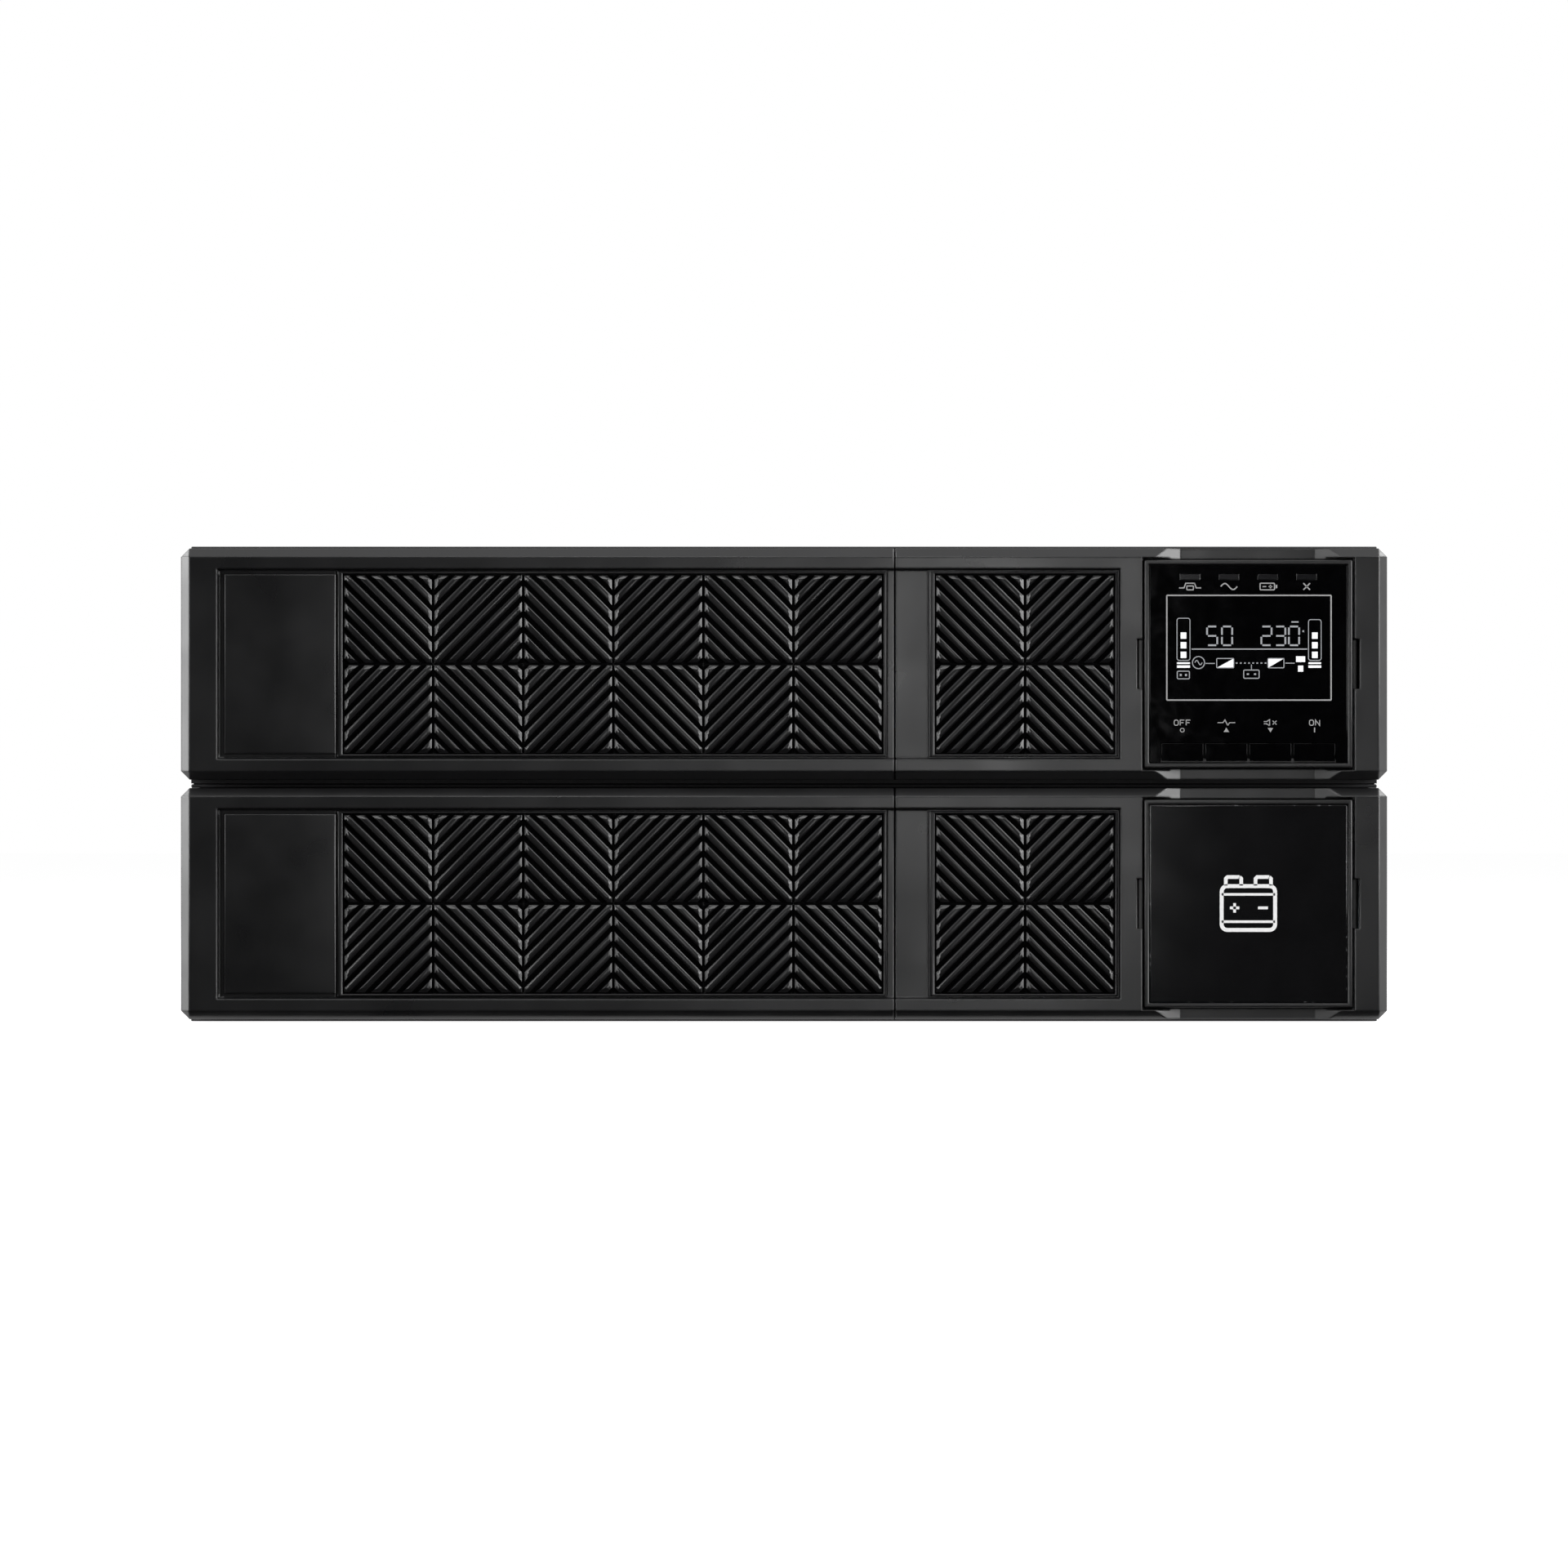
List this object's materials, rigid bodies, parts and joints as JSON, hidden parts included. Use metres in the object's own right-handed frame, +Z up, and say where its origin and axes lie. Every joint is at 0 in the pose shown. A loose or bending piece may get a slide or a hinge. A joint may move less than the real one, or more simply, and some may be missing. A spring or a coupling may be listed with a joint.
{
  "type": "rackmount uninterruptible power supply",
  "caption": "Rackmount UPS: a power module with a pull-out display stacked on a battery module with sliding drawers, black bezels with chevron grilles, rear fans and breakers.",
  "frame": {"origin": "middle of the footprint, on the underside of the battery module", "axes": "+X to the right of a person in front of it, +Y from the bezels to the rear panels, +Z up"},
  "size_m": [0.438, 0.5854, 0.1737],
  "materials": {
    "satin_black_abs": "satin moulded",
    "matt_black_abs": "matt moulded",
    "gloss_black_acrylic": "polished",
    "smoked_acrylic": "moulded, smoked",
    "black_powder_coat": "fine-textured powder coat",
    "zinc_plated_steel": "zinc plated sheet",
    "extruded_aluminium": "as extruded",
    "green_laminate": "solder-masked laminate",
    "grey_battery_abs": "moulded",
    "blue_sleeve": "shrunk sleeve",
    "copper_winding": "enamelled copper wire",
    "glass_panel": "dark panel glass"
  },
  "bodies": {
    "base": {"power_chassis": "black_powder_coat", "power_cover": "black_powder_coat", "power_rear_panel": "black_powder_coat", "main_board": "green_laminate", "rectifier_heat_sink": "extruded_aluminium", "inverter_heat_sink": "extruded_aluminium", "bus_capacitor_1": "blue_sleeve", "bus_capacitor_2": "blue_sleeve", "bus_capacitor_3": "blue_sleeve", "boost_choke": "copper_winding", "inverter_choke": "copper_winding", "left_fan_frame": "matt_black_abs", "right_fan_frame": "matt_black_abs", "input_breaker": "matt_black_abs", "terminal_block": "matt_black_abs", "terminal_cover": "black_powder_coat", "comms_card": "black_powder_coat", "power_dc_socket": "matt_black_abs", "battery_chassis": "black_powder_coat", "battery_cover": "black_powder_coat", "battery_rear_panel": "black_powder_coat", "battery_breaker": "matt_black_abs", "battery_dc_socket": "matt_black_abs"},
    "power_left_cover": {"power_left_bezel": "satin_black_abs", "power_left_grille": "matt_black_abs", "power_nameplate": "satin_black_abs"},
    "power_right_cover": {"power_right_bezel": "satin_black_abs", "power_right_grille": "matt_black_abs"},
    "display": {"display_case": "satin_black_abs", "display_window": "gloss_black_acrylic", "lcd_module": "glass_panel", "display_board": "green_laminate", "status_light_bar": "smoked_acrylic"},
    "left_battery_drawer": {"left_drawer": "zinc_plated_steel", "left_battery_1": "grey_battery_abs", "left_battery_2": "grey_battery_abs", "left_battery_3": "grey_battery_abs", "left_battery_4": "grey_battery_abs", "left_battery_5": "grey_battery_abs", "left_battery_6": "grey_battery_abs"},
    "right_battery_drawer": {"right_drawer": "zinc_plated_steel", "right_battery_1": "grey_battery_abs", "right_battery_2": "grey_battery_abs", "right_battery_3": "grey_battery_abs", "right_battery_4": "grey_battery_abs"},
    "battery_left_cover": {"battery_left_bezel": "satin_black_abs", "battery_left_grille": "matt_black_abs", "battery_nameplate": "satin_black_abs"},
    "battery_right_cover": {"battery_right_bezel": "satin_black_abs", "battery_right_grille": "matt_black_abs"},
    "badge": {"badge_case": "satin_black_abs", "badge_plate": "matt_black_abs"},
    "left_fan": {"left_fan_rotor": "matt_black_abs"},
    "right_fan": {"right_fan_rotor": "matt_black_abs"},
    "input_lever": {"input_breaker_lever": "satin_black_abs"},
    "battery_lever": {"battery_breaker_lever": "satin_black_abs"},
    "off_key": {"off_key": "gloss_black_acrylic"},
    "up_key": {"up_key": "gloss_black_acrylic"},
    "down_key": {"down_key": "gloss_black_acrylic"},
    "on_key": {"on_key": "gloss_black_acrylic"}
  },
  "joints": [
    {"name": "power_left_cover_pull", "type": "slide", "parent": "base", "child": "power_left_cover", "axis": [0, -1, 0], "range_m": [0, 0.03]},
    {"name": "power_right_cover_pull", "type": "slide", "parent": "base", "child": "power_right_cover", "axis": [0, -1, 0], "range_m": [0, 0.03]},
    {"name": "display_pull", "type": "slide", "parent": "power_right_cover", "child": "display", "axis": [0, -1, 0], "range_m": [0, 0.03]},
    {"name": "left_drawer_slide", "type": "slide", "parent": "base", "child": "left_battery_drawer", "axis": [0, -1, 0], "range_m": [0, 0.45]},
    {"name": "right_drawer_slide", "type": "slide", "parent": "base", "child": "right_battery_drawer", "axis": [0, -1, 0], "range_m": [0, 0.45]},
    {"name": "battery_left_cover_pull", "type": "slide", "parent": "left_battery_drawer", "child": "battery_left_cover", "axis": [0, -1, 0], "range_m": [0, 0.03]},
    {"name": "battery_right_cover_pull", "type": "slide", "parent": "right_battery_drawer", "child": "battery_right_cover", "axis": [0, -1, 0], "range_m": [0, 0.03]},
    {"name": "badge_pull", "type": "slide", "parent": "battery_right_cover", "child": "badge", "axis": [0, -1, 0], "range_m": [0, 0.03]},
    {"name": "off_key_press", "type": "slide", "parent": "display", "child": "off_key", "axis": [0, 1, 0], "range_m": [0, 0.0006], "stiffness_N_per_m": 300},
    {"name": "up_key_press", "type": "slide", "parent": "display", "child": "up_key", "axis": [0, 1, 0], "range_m": [0, 0.0006], "stiffness_N_per_m": 300},
    {"name": "down_key_press", "type": "slide", "parent": "display", "child": "down_key", "axis": [0, 1, 0], "range_m": [0, 0.0006], "stiffness_N_per_m": 300},
    {"name": "on_key_press", "type": "slide", "parent": "display", "child": "on_key", "axis": [0, 1, 0], "range_m": [0, 0.0006], "stiffness_N_per_m": 300},
    {"name": "left_fan_spin", "type": "hinge", "parent": "base", "child": "left_fan", "pos_m": [-0.16498, 0.26645, 0.13035], "axis": [0, 1, 0], "continuous": true},
    {"name": "right_fan_spin", "type": "hinge", "parent": "base", "child": "right_fan", "pos_m": [-0.07411, 0.26645, 0.13035], "axis": [0, 1, 0], "continuous": true},
    {"name": "input_lever_toggle", "type": "hinge", "parent": "base", "child": "input_lever", "pos_m": [0.08626, 0.27695, 0.13035], "axis": [1, 0, 0], "range_deg": [-50, 0]},
    {"name": "battery_lever_toggle", "type": "hinge", "parent": "base", "child": "battery_lever", "pos_m": [0.08626, 0.27695, 0.04335], "axis": [1, 0, 0], "range_deg": [-50, 0]}
  ]
}
